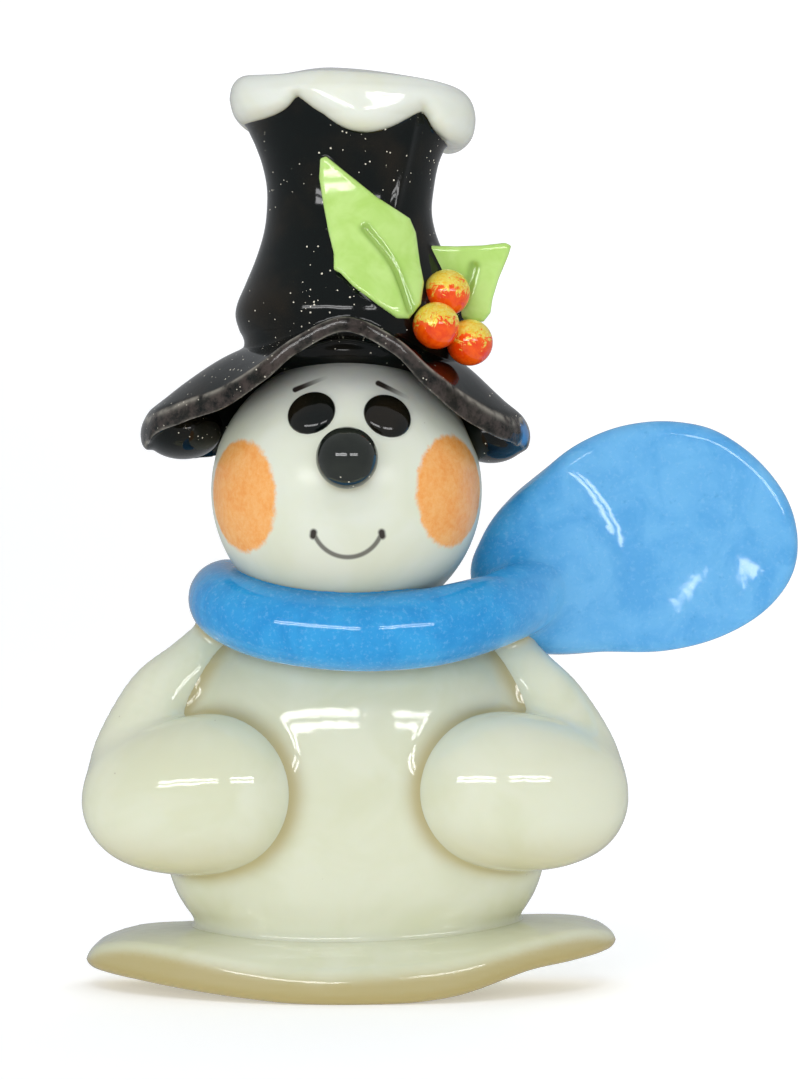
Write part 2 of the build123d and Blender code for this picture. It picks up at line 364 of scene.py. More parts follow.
BASE_EDGE = 1.05


def base_field():
    def top(x, y):
        depth = np.maximum((BACK - y) / (BACK + 10), 0)
        return along(BASE_TOP, 1, x) - (BASE_DROP + BASE_DROP_GAIN * x**2) * depth**4

    def sheet(x, y, z):
        half = (top(x, y) - along(BASE_TOP, 2, x)) / 2
        return np.abs(z - along(BASE_TOP, 2, x) - half) - half

    plan = upright(outline(curve(BASE_PLAN, closed=True)))
    return on_tile(plate(sheet, plan, BASE_EDGE), 0.5)


# ---------------------------------------------------------------- torso and arms
TORSO_PROFILE = [  # height, half width, half depth
    (0, 15.0, 8.8), (3, 15.6, 9.4), (6.6, 16.9, 10.1), (8.1, 17.9, 10.5), (9.6, 18.8, 10.9),
    (11.5, 19.5, 11.2), (14, 20.0, 11.5), (18, 20.2, 11.8), (24, 19.8, 11.7), (29, 18.0, 11.1),
    (33, 15.4, 10.0), (36.5, 11.8, 8.4), (40, 6.5, 5.5), (43, 2.0, 2.0),
]
TORSO_Y = 6.0
TORSO_SPAN = (0.5, 40.5)  # its lowest and highest point
TORSO_SQUARE = 2.25  # 2 is an ellipse in plan, more is squarer


def column(profile, centre_x, centre_y, square):
    """An upright lump of (height, half width, half depth)."""
    def field(x, y, z):
        half_x, half_y = along(profile, 1, z), along(profile, 2, z)
        u, v = np.abs(x - centre_x) / half_x, np.abs(y - centre_y) / half_y
        size = (u**square + v**square + 1e-12)**(1 / square)
        return (size - 1) * np.minimum(half_x, half_y)
    return field


def torso_field():
    low, high = TORSO_SPAN

    def ends(x, y, z):
        return np.abs(z - (low + high) / 2) - (high - low) / 2 + 0 * x + 0 * y

    body = column(TORSO_PROFILE, middle("torso")[0], TORSO_Y, TORSO_SQUARE)
    return on_tile(uneven(both(body, ends, 1.0), 0.12, 6.0))


UPPER_ARM = {  # x, y, z, radius, from under the scarf down to the elbow
    "left": [
        (-12.6, 5.0, 37.0, 2.6), (-16.6, 3.7, 32.8, 3.2), (-19.7, 2.7, 29.3, 3.9), (-21.6, 1.7, 23.4, 5.2),
        (-21.4, 1.2, 19.5, 6.0),
    ],
    "right": [
        (14.2, 5.0, 36.6, 2.6), (17.9, 3.7, 32.0, 3.2), (20.5, 2.7, 28.5, 3.9), (22.1, 1.7, 23.4, 5.2),
        (22.1, 1.2, 19.5, 6.0),
    ],
}
# centre and half sizes
ELBOW = {"left": ((-19.6, -1.2, 19.7), (8.0, 6.6, 7.3)), "right": ((20.2, -1.2, 20.2), (7.9, 6.6, 7.3))}
HAND = {"left": ((-13.4, -3.0, 20.5), (8.3, 6.6, 7.95)), "right": ((14.3, -3.1, 20.8), (8.4, 6.6, 7.9))}


def arm_field(side):
    """An upper arm that comes out from under the scarf, and a fat forearm that ends on the belly."""
    forearm = join(ellipsoid(*ELBOW[side]), ellipsoid(*HAND[side]), soft=4.0)
    return on_tile(uneven(join(roll(UPPER_ARM[side]), forearm, soft=1.0), 0.12, 5.0, 1.0))


# ---------------------------------------------------------------- head and face
def head_field():
    return on_tile(ball(HEAD, HEAD_R), 1.0)


def nose_field():
    low, high = node_box("nose")
    radius = (high - low)[0] / 2
    return ball((middle("nose")[0], low[1] + radius, middle("nose")[2]), radius)


EYE_SHAPE = (2.45, 2.5, 1.05)  # half width, half height, half thickness
EYE_TILT = {"left": 10.0, "right": -16.0}  # degrees
EYE_SUNK = 0.15  # how far the dome's middle lies under the head's surface


def unit(vector):
    return vector / np.linalg.norm(vector)


def eye_field(side):
    """A low dome that follows the head."""
    out = unit(middle(f"eye_{side}") - HEAD)
    centre = HEAD + out * (HEAD_R - EYE_SUNK)
    right = unit(np.cross(out, (0, 0, 1)))
    right = right * np.sign(right[0])
    up = np.cross(right, out)
    up = up * np.sign(up[2])
    turn = np.radians(EYE_TILT[side])
    wide = np.cos(turn) * right + np.sin(turn) * up
    tall = np.cos(turn) * up - np.sin(turn) * right
    half_wide, half_tall, half_thick = EYE_SHAPE
    dome = ellipsoid((0, 0, 0), (half_wide, half_thick, half_tall))

    def field(x, y, z):
        dx, dy, dz = x - centre[0], y - centre[1], z - centre[2]
        return dome(*(dx * axis[0] + dy * axis[1] + dz * axis[2] for axis in (wide, out, tall)))
    return field


# ---------------------------------------------------------------- scarf
SCARF_ROLL = [  # x, y, z, radius
    (-12.7, 11.0, 40.8, 3.5), (-13.5, 5.0, 40.2, 3.6), (-12.1, -1.0, 39.1, 3.75), (-7.5, -5.2, 37.7, 3.9),
    (0.0, -6.9, 36.9, 3.95), (7.0, -5.8, 37.2, 3.95), (12.5, -2.6, 38.3, 3.85), (16.5, 1.6, 39.6, 3.8),
    (19.8, 5.6, 41.2, 3.7), (22.0, 8.6, 42.4, 3.6),
]
SCARF_FAN = ((18.9, 6.5, 42.6), (5.4, 2.0, 6.6))  # centre and half sizes of the roll's flattened end
TAIL_EDGE = [
    (13.4, 42.6), (14.6, 45.5), (16.2, 48.6), (18.4, 51.7), (21.9, 55.1), (25.6, 57.2), (29.4, 58.3),
    (33.6, 58.5), (38.0, 57.5), (42.3, 54.5), (45.4, 50.4), (46.5, 46.0), (45.7, 42.0), (42.7, 38.4),
    (38.0, 35.8), (32.6, 34.5), (27.0, 34.4), (22.0, 34.6), (18.4, 35.6), (15.6, 38.0),
]
TAIL_SHEET = 3.1
TAIL_EDGE_ROUND = 1.45
TAIL_RIM = 9.0  # width of the slope from the rim down into the dish
TAIL_DISH = 0.85
TAIL_DISH_FROM = (23.0, 41.0)  # flat next to the scarf, fully dished past the second x


def scarf_field():
    end = ellipsoid(*SCARF_FAN)
    return on_tile(uneven(join(roll(SCARF_ROLL), end, soft=3.0), 0.06, 4.0, 2.0))


def tail_field():
    """A rounded paddle, slightly dished, with a full rim."""
    side = facing(outline(curve(TAIL_EDGE, closed=True)))
    start, full = TAIL_DISH_FROM

    def sheet(x, y, z):
        dish = TAIL_DISH * ease((x - start) / (full - start)) * ease(-side(x, y, z) / TAIL_RIM)
        return BACK - TAIL_SHEET + dish - y

    return on_tile(plate(sheet, side, TAIL_EDGE_ROUND), 1.0)


# ---------------------------------------------------------------- hat
BRIM_LINES = [  # x, height of the crest, height of the front lip, height of the back edge
    (-24, 55.4, 56.0, 57.2), (-21.6, 58.0, 57.8, 57.5), (-20.3, 59.6, 58.8, 57.2), (-17, 62.3, 59.8, 56.8),
    (-13, 64.9, 61.0, 57.6), (-9, 66.5, 63.4, 59.9), (-5.5, 67.4, 66.0, 62.4), (-0.5, 68.0, 68.1, 64.0),
    (4.5, 67.2, 66.0, 62.2), (8, 66.1, 62.9, 59.6), (11.5, 64.1, 60.3, 57.4), (14.8, 61.1, 58.7, 56.6),
    (17.4, 58.6, 58.0, 56.9), (18.5, 57.4, 57.4, 57.0), (21, 54.7, 56.0, 57.0),
]
BRIM_PLAN = [
    (-21.6, 2.4), (-20.4, -2.6), (-17, -6.2), (-13, -8.7), (-9, -10.6), (-5, -11.7), (-0.6, -12.0),
    (4.0, -11.6), (8, -10.1), (11.5, -7.8), (14.8, -5.0), (17.1, -1.6), (17.9, 2.4),
    (17.0, 6.6), (14.5, 12), (-17.5, 12), (-20.4, 7.0),
]
BRIM_LIP = BRIM_PLAN[:13]  # the part of the plan that is the front lip
BRIM_BEND = 1.7  # 1 is a straight fall from the crest, more bends later and harder
BRIM_SHEET = 1.5
BRIM_EDGE = 0.4  # rounding of the lip's two edges
TIP_SHEET = 0.3  # how much thicker the sheet is at its tips
TIP_EDGE = 0.4  # how much rounder
BRIM_TIPS = (  # centre and half sizes of the rounded lumps that the brim's ends turn under into
    ((-17.6, 3.4, 57.4), (4.1, 5.6, 2.95)),
    ((14.3, 3.4, 57.0), (3.9, 5.6, 2.95)),
)
BLUE_PATCH = (18.3, -0.4, 57.0)  # middle of the patch of blue on the brim's right tip
BRIM_SEAT = ((HEAD[0], 2.6, 65.2), (10.5, 7.2, 3.0))  # pad between brim and head: centre, half sizes
BRIM_MIDDLE = -1.6  # x midway between the tips
TIP_FROM = (12.0, 19.0)  # the tips begin and are full this far from the middle
CREST_Y = 0.5  # where the brim is highest
CROWN_SIDES = [  # height, left side, right side
    (60, -10.6, 10.8), (66.0, -11.1, 11.4), (67.6, -11.7, 11.8), (69.0, -12.1, 11.9), (70.4, -11.9, 11.6),
    (72.5, -11.0, 10.7), (75, -9.95, 9.6), (77.4, -9.25, 8.6), (79.8, -8.9, 8.15), (82.3, -8.85, 8.35),
    (84.7, -9.3, 8.8), (86.6, -10.0, 9.6), (89, -11.1, 10.7), (92, -11.7, 11.3), (96, -12, 11.6),
]
CROWN_Y = 1.5
CROWN_TOP = 90.6
CROWN_DEPTH = 0.87  # half depth as a share of half width
FOLD_AT = (4.6, 80.0)  # x and z of a point on the soft fold down the crown's front
FOLD_LEAN = 0.22
FOLD_HEIGHT = 0.28
FOLD_HALF = 0.4
FOLD_LOW = 79.0  # it fades out below this height
# The cap's outline from the front: its top and right lobe, then its middle and left lobes
CAP_EDGE = [
    (-13.1, 91.3), (-12.6, 92.7), (-11.3, 93.5), (-9.0, 93.6), (-6.8, 93.7), (-3.2, 94.2), (0.4, 94.1),
    (4.0, 93.7), (8.6, 92.9), (11.2, 92.0), (12.6, 90.8), (13.1, 89.2), (12.6, 87.5), (11.3, 86.6),
    (9.7, 86.6), (8.3, 87.5), (7.6, 88.6), (7.1, 89.3),
]
CAP_MIDDLE = [(7.1, 89.3), (5.6, 88.3), (3.7, 87.3), (1.4, 86.8), (-0.9, 87.3), (-3.3, 89.0), (-5.3, 91.0)]
CAP_LEFT = [(-5.3, 91.0), (-6.6, 89.4), (-8.5, 88.6), (-10.7, 88.6), (-12.3, 89.6), (-13.1, 91.3)]
CAP_Y = 2.0
CAP_PLAN = (13.4, 11.9)  # half width and half depth
CAP_DOME = 0.013  # how much the top falls for each square millimetre in front of and behind CAP_Y
CAP_DOME_FROM = 88.5  # the lobes below this height don't follow the dome


def brim_top(x, y):
    """Height of the brim's upper side, which falls from a crest across the hat to the lip and to the back."""
    crest, lip, rear = (along(BRIM_LINES, k, x) for k in (1, 2, 3))
    lip_y = np.interp(x, *curve(BRIM_LIP).T)
    ahead = np.clip((CREST_Y - y) / np.maximum(CREST_Y - lip_y, 2.0), 0, 1.4)
    behind = np.clip((y - CREST_Y) / (BACK - CREST_Y), 0, 1.4)
    return crest + (lip - crest) * ahead**BRIM_BEND + (rear - crest) * behind**BRIM_BEND


def brim_plan():
    return upright(outline(curve(BRIM_PLAN, closed=True)))


def brim_field():
    """A sheet with a cut lip, the lumps at its tips, and the pad that sits on the head."""
    plan = brim_plan()
    start, full = TIP_FROM

    def sheet(x, y, z):
        h = 0.3
        slope_x = (brim_top(x + h, y) - brim_top(x - h, y)) / (2 * h)
        slope_y = (brim_top(x, y + h) - brim_top(x, y - h)) / (2 * h)
        rise = (z - brim_top(x, y)) / np.sqrt(1 + slope_x**2 + slope_y**2)
        tip = ease((np.abs(x - BRIM_MIDDLE) - start) / (full - start))
        half = (BRIM_SHEET + TIP_SHEET * tip) / 2
        return round_edge(np.abs(rise + half) - half, plan(x, y, z), BRIM_EDGE + TIP_EDGE * tip)

    lumps = [ellipsoid(*lump) for lump in (BRIM_SEAT, *BRIM_TIPS)]
    return on_tile(join(sheet, *lumps, soft=1.2), 0.5)


def crown_field():
    def wall(x, y, z):
        left, right = along(CROWN_SIDES, 1, z), along(CROWN_SIDES, 2, z)
        half = (right - left) / 2
        size = np.hypot((x - (left + right) / 2) / half, (y - CROWN_Y) / (half * CROWN_DEPTH))
        fold_x = FOLD_AT[0] + FOLD_LEAN * (z - FOLD_AT[1])
        fold = FOLD_HEIGHT * np.exp(-((x - fold_x) / FOLD_HALF)**2)
        fold = fold * (y < 0) / (1 + np.exp((FOLD_LOW - z) * 1.5))
        return (size - 1) * half * CROWN_DEPTH - fold

    def ends(x, y, z):
        return np.maximum(z - CROWN_TOP, brim_top(x, y) - SUNK - z)

    return on_tile(uneven(both(wall, ends, 0.6), 0.08, 3.5, 3.0))


def cap_field():
    loop = [curve(part)[:-1] for part in (CAP_EDGE, CAP_MIDDLE, CAP_LEFT)]
    edge = outline(np.vstack(loop))

    def side(x, y, z):
        high = np.clip((z - CAP_DOME_FROM) / 3, 0, 1)
        fall = CAP_DOME * high * (y - CAP_Y)**2
        return edge(x + 0 * y + 0 * z, z + fall)

    plan = ellipsoid((0, CAP_Y, 91), (*CAP_PLAN, 1000))
    return on_tile(uneven(plate(side, plan, 2.0), 0.06, 2.5, 4.0))


# ---------------------------------------------------------------- holly
LEAF_SHEET = 1.0
LEAF_EDGE = 0.42
LEAF_LARGE = [
    (-3.1, 84.3), (-2.5, 84.5), (-0.3, 82.7), (2.6, 80.4), (5.9, 78.4), (6.5, 77.0), (6.9, 73.9),
    (7.3, 71.9), (7.0, 69.6), (5.8, 68.1), (4.6, 68.1), (2.7, 69.4), (0.2, 71.3), (-1.0, 72.6),
    (-1.7, 73.0), (-1.7, 74.6), (-2.3, 77.1), (-2.8, 79.8), (-3.2, 82.4),
]
LEAF_LARGE_VEIN = ((1.5, 77.2), (4.3, 73.6), (6.0, 69.0))
LEAF_SMALL = [
    (7.2, 76.0), (10.6, 75.9), (13.2, 76.0), (15.6, 76.3), (16.2, 76.0), (15.9, 75.0), (14.9, 72.6),
    (14.3, 70.6), (14.1, 69.2), (13.4, 68.3), (12.2, 68.2), (10.0, 69.0), (7.0, 71.0),
]
LEAF_SMALL_VEIN = ((12.4, 73.8), (11.9, 72.0), (11.2, 70.2))
VEIN_R = 0.42
VEIN_PROUD = 0.12  # how far the roll that presses the vein in has its middle in front of the leaf


def vein_of(vein, front):
    """The groove that the vein makes in the leaf's front."""
    return roll([(x, front(x, z) - VEIN_PROUD, z, VEIN_R) for x, z in vein])


def leaf_field(loop, vein, front):
    """A thin sheet whose front lies at front(x, z), with a vein pressed into it."""
    def sheet(x, y, z):
        return np.abs(y - front(x, z) - LEAF_SHEET / 2) - LEAF_SHEET / 2

    leaf = plate(sheet, facing(outline(loop)), LEAF_EDGE)
    groove = vein_of(vein, front)
    return lambda x, y, z: -soft_min(-leaf(x, y, z), groove(x, y, z), 0.3)


def large_leaf_front(x, z):
    """A blend of a gently dished slope and the crown that the leaf lies on."""
    half = (along(CROWN_SIDES, 2, z) - along(CROWN_SIDES, 1, z)) / 2
    crown = CROWN_Y - CROWN_DEPTH * half * np.sqrt(1 - np.clip(x / half, -0.85, 0.85)**2)
    flat = -7.3 - 0.155 * (84.5 - z) + 0.045 * (x - 1.0)**2
    return 0.35 * flat + 0.65 * (crown - LEAF_SHEET - 0.25)


def small_leaf_front(x, z):
    return -3.0 + 0.02 * (x - 11)**2 + 0.05 * (76 - z)


def berry_field(node):
    """A ball; its box still shows the whole width, though its neighbours bite into it."""
    low, high = node_box(node)
    radius = (high - low)[2] / 2
    return ball(((low + high)[0] / 2, low[1] + radius, (low + high)[2] / 2), radius)


# ---------------------------------------------------------------- materials
MIX_A, MIX_B, MIX_RESULT = 6, 7, 2  # the Mix node's colour sockets


class Shader:
    """A node material, with short calls for the few nodes that clay needs."""

    def __init__(self, name, **inputs):
        self.material = bpy.data.materials.new(name)
        self.material.use_nodes = True
        self.tree = self.material.node_tree
        self.surface = self.tree.nodes["Principled BSDF"]
        for key, value in inputs.items():
            self.surface.inputs[key.replace("_", " ")].default_value = value
        self.position = self.tree.nodes.new("ShaderNodeTexCoord").outputs["Object"]

    def feed(self, socket, value):
        if isinstance(value, bpy.types.NodeSocket):
            self.tree.links.new(value, socket)
        else:
            socket.default_value = value

    def math(self, kind, *values, clamp=False):
        node = self.tree.nodes.new("ShaderNodeMath")
        node.operation = kind
        node.use_clamp = clamp
        for socket, value in zip(node.inputs, values):
            self.feed(socket, value)
        return node.outputs[0]

    def vector(self, kind, *values):
        node = self.tree.nodes.new("ShaderNodeVectorMath")
        node.operation = kind
        for socket, value in zip(node.inputs, values):
            self.feed(socket, value)
        is_number = kind in ("DOT_PRODUCT", "DISTANCE")
        return node.outputs["Value" if is_number else "Vector"]

    def noise(self, size, detail=3.0, roughness=0.5, warp=0.0):
        """Noise whose lumps are about that many millimetres across."""
        node = self.tree.nodes.new("ShaderNodeTexNoise")
        self.feed(node.inputs["Vector"], self.position)
        node.inputs["Scale"].default_value = 1 / (size * MM)
        node.inputs["Detail"].default_value = detail
        node.inputs["Roughness"].default_value = roughness
        node.inputs["Distortion"].default_value = warp
        return node.outputs["Fac"]

    def cells(self, size):
        """Distance to the nearest of scattered points, and that point's own random colour."""
        node = self.tree.nodes.new("ShaderNodeTexVoronoi")
        self.feed(node.inputs["Vector"], self.position)
        node.inputs["Scale"].default_value = 1 / (size * MM)
        return node.outputs["Distance"], node.outputs["Color"]

    def ramp(self, value, low, high):
        """0 below low, 1 above high, smooth between."""
        node = self.tree.nodes.new("ShaderNodeMapRange")
        node.interpolation_type = "SMOOTHSTEP"
        self.feed(node.inputs["Value"], value)
        node.inputs["From Min"].default_value = low
        node.inputs["From Max"].default_value = high
        return node.outputs["Result"]

    def mix(self, share, a, b):
        node = self.tree.nodes.new("ShaderNodeMix")
        node.data_type = "RGBA"
        self.feed(node.inputs["Factor"], share)
        for socket, colour in ((MIX_A, a), (MIX_B, b)):
            self.feed(node.inputs[socket], (*colour, 1) if isinstance(colour, tuple) else colour)
        return node.outputs[MIX_RESULT]

    def attribute(self, name):
        node = self.tree.nodes.new("ShaderNodeAttribute")
        node.attribute_name = name
        return node.outputs["Fac"]

    def split(self, vector):
        node = self.tree.nodes.new("ShaderNodeSeparateXYZ")
        self.feed(node.inputs[0], vector)
        return node.outputs

    def bump(self, height, depth):
        """Bumps of that depth in millimetres; each call adds to the last."""
        node = self.tree.nodes.new("ShaderNodeBump")
        node.inputs["Strength"].default_value = 1
        node.inputs["Distance"].default_value = depth * MM
        self.feed(node.inputs["Height"], height)
        before = self.surface.inputs["Normal"]
        if before.is_linked:
            self.feed(node.inputs["Normal"], before.links[0].from_socket)
        self.feed(before, node.outputs["Normal"])

    def colour(self, value):
        self.feed(self.surface.inputs["Base Color"], value)

    def colour_so_far(self):
        return self.surface.inputs["Base Color"].links[0].from_socket

    def from_point(self, point):
        """The vector from a point, given in millimetres."""
        return self.vector("SUBTRACT", self.position, tuple(c * MM for c in point))


GLAZE = {"Roughness": 0.07, "IOR": 1.5, "Coat_Weight": 0.35, "Coat_Roughness": 0.03}


def glazed(name, **more):
    """Clay under a clear glaze: uneven by a hair, dull where it lay on the tile."""
    shader = Shader(name, **{**GLAZE, **more})
    shader.bump(shader.noise(3.5, 2), 0.05)
    shader.bump(shader.noise(0.9, 2), 0.006)
    y = shader.split(shader.position)[1]
    back = shader.ramp(y, (BACK - 0.12) * MM, (BACK - 0.03) * MM)
    base = shader.surface.inputs["Roughness"].default_value
    rough = shader.math("MULTIPLY_ADD", back, 0.35, base)
    shader.feed(shader.surface.inputs["Roughness"], rough)
    return shader


CREASE_SHADE_TAN = (0.46, 0.37, 0.14)  # painted shade: the tan laid into creases and on faces that turn down
DUST = (0.36, 0.30, 0.20)


def snow_clay(name, light, warm, **gloss):
    """Cream or white clay: cloudy, with painted tan shade in its creases and underneath, and a few dust
    specks.
    """
    shader = glazed(
        name, Subsurface_Weight=0.25, Subsurface_Radius=(1.0, 0.8, 0.55), Subsurface_Scale=0.0016, **gloss
    )
    cloud = shader.ramp(shader.noise(9, 3, 0.55, 0.6), 0.35, 0.68)
    colour = shader.mix(cloud, light, warm)
    # painted shade: tan where a point sits in a crease against a neighbour or turns down
    crease = shader.ramp(shader.attribute("crease"), 0.15, 1.0)
    brown = shader.math("MAXIMUM", shader.math("MULTIPLY", crease, 0.78), shader.attribute("under"))
    colour = shader.mix(brown, colour, CREASE_SHADE_TAN)
    spot, random = shader.cells(2.6)
    near_spot = shader.ramp(spot, 0.045, 0.02)
    rare = shader.math("GREATER_THAN", shader.split(random)[0], 0.72)
    speck = shader.math("MULTIPLY", near_spot, rare)
    shader.colour(shader.mix(shader.math("MULTIPLY", speck, 0.45), colour, DUST))
    return shader


SCARF_BLUE = ((0.035, 0.36, 0.75), (0.02, 0.29, 0.67))
TAIL_BLUE = ((0.16, 0.49, 0.85), (0.10, 0.40, 0.78))
FADE = (13.0, 24.0)  # the scarf's deep blue turns into the tail's light blue between these x


def blue_clay():
    """Blue clay, deep round the neck and light in the tail, with fine pale and dark grain."""
    shader = glazed(
        "blue_clay", Coat_Weight=0.15,
        Subsurface_Weight=0.1, Subsurface_Radius=(0.3, 0.5, 1.0), Subsurface_Scale=0.001,
    )
    cloud = shader.ramp(shader.noise(4.5, 4, 0.6, 0.8), 0.32, 0.7)
    x = shader.split(shader.position)[0]
    fade = shader.ramp(x, FADE[0] * MM, FADE[1] * MM)
    colour = shader.mix(fade, shader.mix(cloud, *SCARF_BLUE), shader.mix(cloud, *TAIL_BLUE))
    grain = shader.ramp(shader.noise(0.45, 3, 0.7), 0.5, 0.72)
    colour = shader.mix(shader.math("MULTIPLY", grain, 0.25), colour, (0.30, 0.62, 0.92))
    dark = shader.ramp(shader.noise(0.8, 3, 0.65), 0.6, 0.78)
    shader.colour(shader.mix(shader.math("MULTIPLY", dark, 0.28), colour, (0.03, 0.22, 0.55)))
    return shader


HAT_BLACK = ((0.001, 0.003, 0.0025), (0.012, 0.009, 0.005))
# greyer than the hat's black: black clay plus painted reflection, the grey sheen on the glossy nose
NOSE_BLACK_AND_SHEEN = ((0.010, 0.013, 0.010), (0.035, 0.040, 0.030))
# painted glint: pale dots that stand for the sparkle of glitter flakes
PAINTED_GLINT = (0.85, 0.80, 0.66)


def black_clay(name, glitter=1.0, index=1.40, tones=HAT_BLACK):
    """Black clay with brown clouds and patches of tiny scattered pale dots: glitter flakes, their sparkle
    painted in as glints.
    """
    shader = glazed(name, Coat_Weight=0.0, IOR=index)
    cloud = shader.ramp(shader.noise(6, 3, 0.5), 0.4, 0.75)
    colour = shader.mix(cloud, *tones)
    # glitter flakes, with their sparkle painted in as pale glints
    spot, random = shader.cells(0.4)
    channels = shader.split(random)
    size = shader.math("MULTIPLY", channels[1], 0.25)
    painted_glint = shader.math("LESS_THAN", spot, size)
    density = shader.math("MULTIPLY", shader.ramp(shader.noise(7, 2), 0.38, 0.66), 0.45 * glitter)
    rare = shader.math("GREATER_THAN", shader.math("ADD", channels[0], density), 1)
    shader.colour(shader.mix(shader.math("MULTIPLY", painted_glint, rare), colour, PAINTED_GLINT))
    return shader


def brim_clay():
    """The hat's black clay, with painted sheen in brown along the cut lip and a painted highlight on its edge
    line, and a patch of blue on the tip next to the tail.
    """
    shader = black_clay("brim_clay")
    colour = shader.colour_so_far()
    # painted sheen: brown along the cut lip; painted highlight: pale on its edge line
    patchy = shader.ramp(shader.noise(1.2, 4, 0.7), 0.35, 0.65)
    painted_lip_sheen = shader.math("MULTIPLY", shader.attribute("lip"), patchy)
    colour = shader.mix(shader.math("MULTIPLY", painted_lip_sheen, 0.8), colour, (0.06, 0.045, 0.04))
    broken = shader.ramp(shader.noise(1.6, 3), 0.3, 0.6)
    painted_lip_highlight = shader.math("MULTIPLY", shader.attribute("lip_edge"), broken)
    colour = shader.mix(shader.math("MULTIPLY", painted_lip_highlight, 0.6), colour, (0.42, 0.39, 0.33))
    away = shader.vector("DISTANCE", shader.position, tuple(c * MM for c in BLUE_PATCH))
    frayed = shader.math("MULTIPLY_ADD", shader.noise(0.8, 3, 0.6), 1.6 * MM, away)
    blue_patch = shader.ramp(frayed, 2.7 * MM, 1.8 * MM)
    shader.colour(shader.mix(blue_patch, colour, (0.06, 0.21, 0.46)))
    return shader


def green_clay():
    """Leaf green, with painted shade in the vein and against the berries."""
    shader = glazed(
        "holly_clay", Subsurface_Weight=0.15, Subsurface_Radius=(0.5, 1.0, 0.3), Subsurface_Scale=0.001
    )
    cloud = shader.ramp(shader.noise(3.2, 3, 0.6, 0.5), 0.3, 0.72)
    colour = shader.mix(cloud, (0.56, 0.80, 0.25), (0.46, 0.71, 0.16))
    # painted shade: darker green in the vein's groove and against the berries
    crease = shader.ramp(shader.attribute("crease"), 0.25, 1.0)
    shader.colour(shader.mix(shader.math("MULTIPLY", crease, 0.6), colour, (0.22, 0.38, 0.05)))
    return shader


def berry_clay(name, centre):
    """Orange red, with crinkled gold leaf over its upper part."""
    shader = glazed(name, Coat_Weight=0.5)
    cloud = shader.ramp(shader.noise(1.4, 3, 0.6, 0.5), 0.3, 0.7)
    red = shader.mix(cloud, (1.0, 0.12, 0.002), (0.85, 0.045, 0.001))
    height = shader.split(shader.from_point(centre))[2]
    torn = shader.math("MULTIPLY_ADD", shader.noise(0.9, 4, 0.75, 1.0), 7 * MM, height)
    foil = shader.ramp(torn, 3.5 * MM, 4.1 * MM)
    crinkle = shader.ramp(shader.noise(0.5, 4, 0.7, 1.2), 0.35, 0.65)
    gold = shader.mix(crinkle, (1.0, 0.86, 0.16), (1.0, 0.60, 0.02))
    shader.colour(shader.mix(foil, red, gold))
    shader.feed(shader.surface.inputs["Metallic"], shader.math("MULTIPLY", foil, 0.2))
    shader.bump(shader.math("MULTIPLY", crinkle, foil), 0.02)
    return shader


CHEEK_REACH = 24.0  # degrees from a cheek's middle to its edge
PEN = (0.045, 0.035, 0.03)
PEN_HALF = 0.28  # half width of the mouth's line in the CAD model
MOUTH_RISE = 0.5  # how much of the mouth's height isn't its bend
CHALK = ((0.97, 0.50, 0.16), (0.92, 0.34, 0.05))


def head_clay():
    """White clay with chalked cheeks and the pen's brows and mouth, all under the glaze, and painted light
    that makes its top paler under the brim.
    """
    shader = snow_clay("head_clay", (0.77, 0.80, 0.69), (0.73, 0.76, 0.61), Roughness=0.24, Coat_Weight=0.0)
    colour = chalked(shader, shader.colour_so_far())
    x, y, z = shader.split(shader.position)
    # painted light: paler towards the top of the head, where the brim's shade falls
    top = shader.ramp(z, 57 * MM, 62.5 * MM)
    colour = shader.mix(shader.math("MULTIPLY", top, 0.8), colour, (0.95, 0.97, 0.90))
    ink = mouth_mask(shader, x, z)
    for side in SIDES:
        ink = shader.math("MAXIMUM", ink, brow_mask(shader, x, z, side))
    front = shader.math("LESS_THAN", y, HEAD[1] * MM)
    shader.colour(shader.mix(shader.math("MULTIPLY", ink, front), colour, PEN))
    return shader


def chalked(shader, colour):
    """The colour with a frayed, uneven patch of orange chalk on each cheek."""
    out = shader.vector("NORMALIZE", shader.from_point(HEAD))
    fray = shader.math("MULTIPLY_ADD", shader.noise(0.9, 4, 0.7), 5.0, -2.5)
    grain = shader.ramp(shader.noise(0.55, 4, 0.75), 0.34, 0.66)
    patch = shader.ramp(shader.noise(2.6, 3, 0.6), 0.35, 0.65)
    pressure = shader.math("MULTIPLY_ADD", grain, 0.55, shader.math("MULTIPLY", patch, 0.4))
    orange = shader.mix(pressure, *CHALK)
    for side in SIDES:
        aim = unit(middle(f"cheek_{side}") - HEAD)
        angle = shader.math("ARCCOSINE", shader.vector("DOT_PRODUCT", out, tuple(aim)))
        away = shader.math("ADD", shader.math("DEGREES", angle), fray)
        chalk = shader.ramp(away, CHEEK_REACH + 1.2, CHEEK_REACH - 1.6)
        colour = shader.mix(shader.math("MULTIPLY", chalk, 0.96), colour, orange)
    return colour


def length(shader, u, v):
    """Length of the vector (u, v)."""
    squares = shader.math("ADD", shader.math("MULTIPLY", u, u), shader.math("MULTIPLY", v, v))
    return shader.math("SQRT", squares)


def segment_distance(shader, x, z, start, end):
    """Distance in millimetres from a line in the x-z plane, and how far along it (0 to 1)."""
    (x0, z0), (x1, z1) = start, end
    dx, dz = x1 - x0, z1 - z0
    square = dx * dx + dz * dz
    u = shader.math("MULTIPLY_ADD", x, 1 / MM, -x0)
    v = shader.math("MULTIPLY_ADD", z, 1 / MM, -z0)
    rise = shader.math("MULTIPLY", v, dz / square)
    share = shader.math("MULTIPLY_ADD", u, dx / square, rise, clamp=True)
    off_u = shader.math("MULTIPLY_ADD", share, -dx, u)
    off_v = shader.math("MULTIPLY_ADD", share, -dz, v)
    return length(shader, off_u, off_v), share


